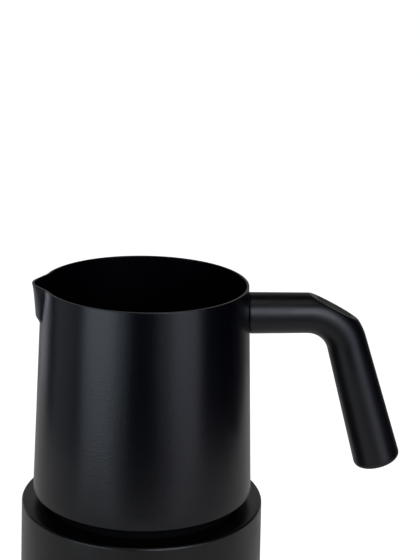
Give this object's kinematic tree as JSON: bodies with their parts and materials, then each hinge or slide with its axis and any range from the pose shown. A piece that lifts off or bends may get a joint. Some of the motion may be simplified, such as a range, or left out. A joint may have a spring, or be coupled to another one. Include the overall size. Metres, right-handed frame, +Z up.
{
  "type": "milk frother",
  "caption": "Induction milk frother: round powered base and a lift-off spouted steel jug with a tubular handle and a magnet-driven whisk.",
  "frame": {"origin": "on the table, under the axis of the base and jug, at the middle of the silicone foot ring", "axes": "+Z up; the handle points to +X and the spout to -X; the button faces -Y and the mains lead enters at +Y"},
  "size_m": [0.197, 0.1297, 0.1868],
  "materials": {
    "base_plastic": "fine matte black moulding",
    "jug_coating": "satin black non-stick coating over steel",
    "handle_plastic": "smooth matte black moulding",
    "thumb_plastic": "matte dark grey insert",
    "silicone": "soft matte",
    "seat_ceramic": "glossy black heat-resistant plate",
    "stainless": "brushed",
    "zinc": "zinc plated",
    "litz_copper": "enamelled copper windings",
    "ferrite": "matt sintered ferrite",
    "sensor_ceramic": "white alumina bead",
    "motor_steel": "plated steel can",
    "nylon": "natural nylon",
    "coil_former": "glass-filled heat-resistant moulding",
    "circuit_board": "green solder mask",
    "sink_aluminium": "extruded, plain",
    "black_epoxy": "moulded package",
    "capacitor_film": "dipped blue",
    "capacitor_sleeve": "shrink sleeve",
    "choke_copper": "enamelled copper on a ring core",
    "terminal_green": "moulded",
    "button_plastic": "satin black",
    "light_guide": "frosted clear",
    "magnet_nickel": "nickel plated",
    "whisk_plastic": "satin black",
    "spring_steel": "polished stainless wire"
  },
  "bodies": {
    "base": {"base_shell": "base_plastic", "bottom_plate": "base_plastic", "foot_ring": "silicone", "bottom_screws": "zinc", "seat_plate": "seat_ceramic", "seat_gasket": "silicone", "coil_carrier": "coil_former", "carrier_screws": "zinc", "induction_coil": "litz_copper", "ferrite_bars": "ferrite", "temperature_sensor": "sensor_ceramic", "motor_bracket": "motor_steel", "bracket_screws": "zinc", "motor_can": "motor_steel", "motor_end_cap": "nylon", "motor_screws": "zinc", "fan_frame": "black_epoxy", "fan_screws": "zinc", "main_board": "circuit_board", "board_screws": "zinc", "heat_sink": "sink_aluminium", "power_transistor": "black_epoxy", "resonance_capacitor": "capacitor_film", "filter_capacitors": "capacitor_sleeve", "mains_choke": "choke_copper", "terminal_block": "terminal_green", "control_board": "circuit_board", "control_screws": "zinc", "switch_body": "black_epoxy", "light_ring": "light_guide", "light_guides": "light_guide", "cord_gland": "base_plastic", "gland_nut": "base_plastic"},
    "rotor": {"motor_shaft": "stainless", "magnet_carrier": "nylon", "drive_magnets": "magnet_nickel"},
    "fan": {"fan_rotor": "black_epoxy"},
    "button": {"button_cap": "button_plastic", "switch_plunger": "nylon"},
    "jug": {"jug_body": "jug_coating", "jug_foot": "base_plastic", "induction_disc": "stainless", "whisk_spindle": "stainless", "handle_stub": "jug_coating", "handle_screw": "zinc", "handle_grip": "handle_plastic", "thumb_rest": "thumb_plastic", "handle_end_plug": "handle_plastic"},
    "whisk_bush": {"whisk_bush": "nylon"},
    "whisk": {"whisk_hub": "whisk_plastic", "whisk_magnets": "magnet_nickel", "whisk_ring": "spring_steel"}
  },
  "joints": [
    {"name": "jug_lift", "type": "slide", "parent": "base", "child": "jug", "axis": [0, 0, 1], "range_m": [0, 0.15]},
    {"name": "whisk_lift", "type": "slide", "parent": "jug", "child": "whisk_bush", "axis": [0, 0, 1], "range_m": [0, 0.13]},
    {"name": "whisk_spin", "type": "hinge", "parent": "whisk_bush", "child": "whisk", "pos_m": [0, 0, 0.075], "axis": [0, 0, 1], "continuous": true},
    {"name": "rotor_spin", "type": "hinge", "parent": "base", "child": "rotor", "pos_m": [0, 0, 0.04], "axis": [0, 0, 1], "continuous": true},
    {"name": "fan_spin", "type": "hinge", "parent": "base", "child": "fan", "pos_m": [-0.029, 0, 0.012], "axis": [0, 0, 1], "continuous": true},
    {"name": "button_press", "type": "slide", "parent": "base", "child": "button", "axis": [0, 1, 0], "range_m": [0, 0.0012], "stiffness_N_per_m": 400}
  ],
  "couplings": [
    {"joint": "whisk_spin", "follows": "rotor_spin", "ratio": 1}
  ]
}
